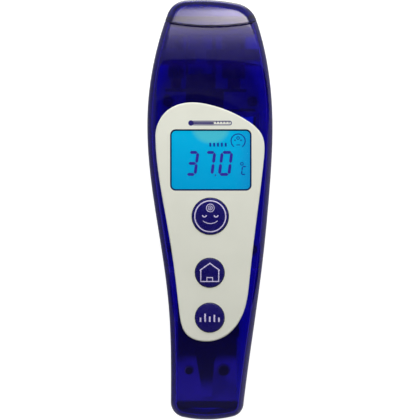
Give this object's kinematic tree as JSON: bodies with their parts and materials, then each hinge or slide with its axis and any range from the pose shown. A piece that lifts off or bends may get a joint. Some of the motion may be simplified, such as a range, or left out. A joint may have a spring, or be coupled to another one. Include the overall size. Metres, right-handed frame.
{
  "type": "digital infrared thermometer",
  "caption": "Handheld infrared body thermometer with backlit display, three keys, lift-off end cap and sliding battery cover.",
  "frame": {"origin": "under the middle of the body's bounding box, on the surface that the thermometer's back rests on", "axes": "+X to the right seen from the display, +Y from the handle's end to the measuring head, +Z out of the display"},
  "size_m": [0.0462, 0.155, 0.0348],
  "materials": {
    "cobalt_plastic": "glossy, translucent cobalt blue polycarbonate",
    "ivory_panel": "satin ivory moulding",
    "navy_key": "satin navy moulding",
    "clear_window": "clear polished acrylic",
    "lcd_glass": "cyan backlit liquid crystal cell",
    "light_guide": "frosted acrylic light guide",
    "black_plastic": "matt black moulding",
    "white_plastic": "matt white moulding",
    "circuit_board": "dark green solder resist on glass-epoxy board",
    "chip_package": "black epoxy",
    "silicone": "grey silicone rubber",
    "polished_metal": "polished nickel plate",
    "steel": "zinc-plated steel",
    "gold_metal": "gold-plated can",
    "lens": "clear moulded lens",
    "lamp": "red tinted epoxy",
    "cell_jacket": "plain dark printed jacket with bare ends",
    "tray_plastic": "light grey moulding",
    "seal_rubber": "near-black elastomer"
  },
  "bodies": {
    "housing": {"front_cover": "cobalt_plastic", "rear_cover": "cobalt_plastic", "face_panel": "ivory_panel", "display_window": "clear_window", "lcd_cell": "lcd_glass", "backlight_panel": "light_guide", "optics_frame": "black_plastic", "sensor_bezel": "black_plastic", "sensor_holder": "black_plastic", "projector_tube_left": "black_plastic", "projector_tube_right": "black_plastic", "digit_mask": "black_plastic", "buzzer": "black_plastic", "board_link": "black_plastic", "battery_holder": "tray_plastic", "cap_seal": "seal_rubber", "holder_pad": "seal_rubber", "lcd_frame": "white_plastic", "backlight_leds": "white_plastic", "main_board": "circuit_board", "sensor_board": "circuit_board", "board_chips": "chip_package", "keypad_mat": "silicone", "zebra_strip": "silicone", "measure_dome": "silicone", "home_dome": "silicone", "memory_dome": "silicone", "sensor_mirror": "polished_metal", "bridge_contact": "polished_metal", "positive_contact": "polished_metal", "negative_contact": "polished_metal", "spring_left": "polished_metal", "spring_right": "polished_metal", "case_screws": "steel", "board_screws": "steel", "holder_screw": "steel", "thermopile_can": "gold_metal", "thermopile_window": "lens", "projector_lens_left": "lens", "projector_lens_right": "lens", "projector_lamp_left": "lamp", "projector_lamp_right": "lamp", "battery_left": "cell_jacket", "battery_right": "cell_jacket"},
    "measure_key": {"measure_key": "navy_key"},
    "home_key": {"home_key": "navy_key"},
    "memory_key": {"memory_key": "navy_key"},
    "cap": {"protective_cap": "cobalt_plastic"},
    "battery_door": {"battery_cover": "cobalt_plastic"}
  },
  "joints": [
    {"name": "measure_press", "type": "slide", "parent": "housing", "child": "measure_key", "axis": [0, 0, -1], "range_m": [0, 0.001], "stiffness_N_per_m": 1500, "deforming": ["measure_dome"]},
    {"name": "home_press", "type": "slide", "parent": "housing", "child": "home_key", "axis": [0, 0, -1], "range_m": [0, 0.001], "stiffness_N_per_m": 1500, "deforming": ["home_dome"]},
    {"name": "memory_press", "type": "slide", "parent": "housing", "child": "memory_key", "axis": [0, 0, -1], "range_m": [0, 0.001], "stiffness_N_per_m": 1500, "deforming": ["memory_dome"]},
    {"name": "cap_pull", "type": "slide", "parent": "housing", "child": "cap", "axis": [0, 1, 0], "range_m": [0, 0.03]},
    {"name": "battery_cover_slide", "type": "slide", "parent": "housing", "child": "battery_door", "axis": [0, -1, 0], "range_m": [0, 0.07]}
  ]
}
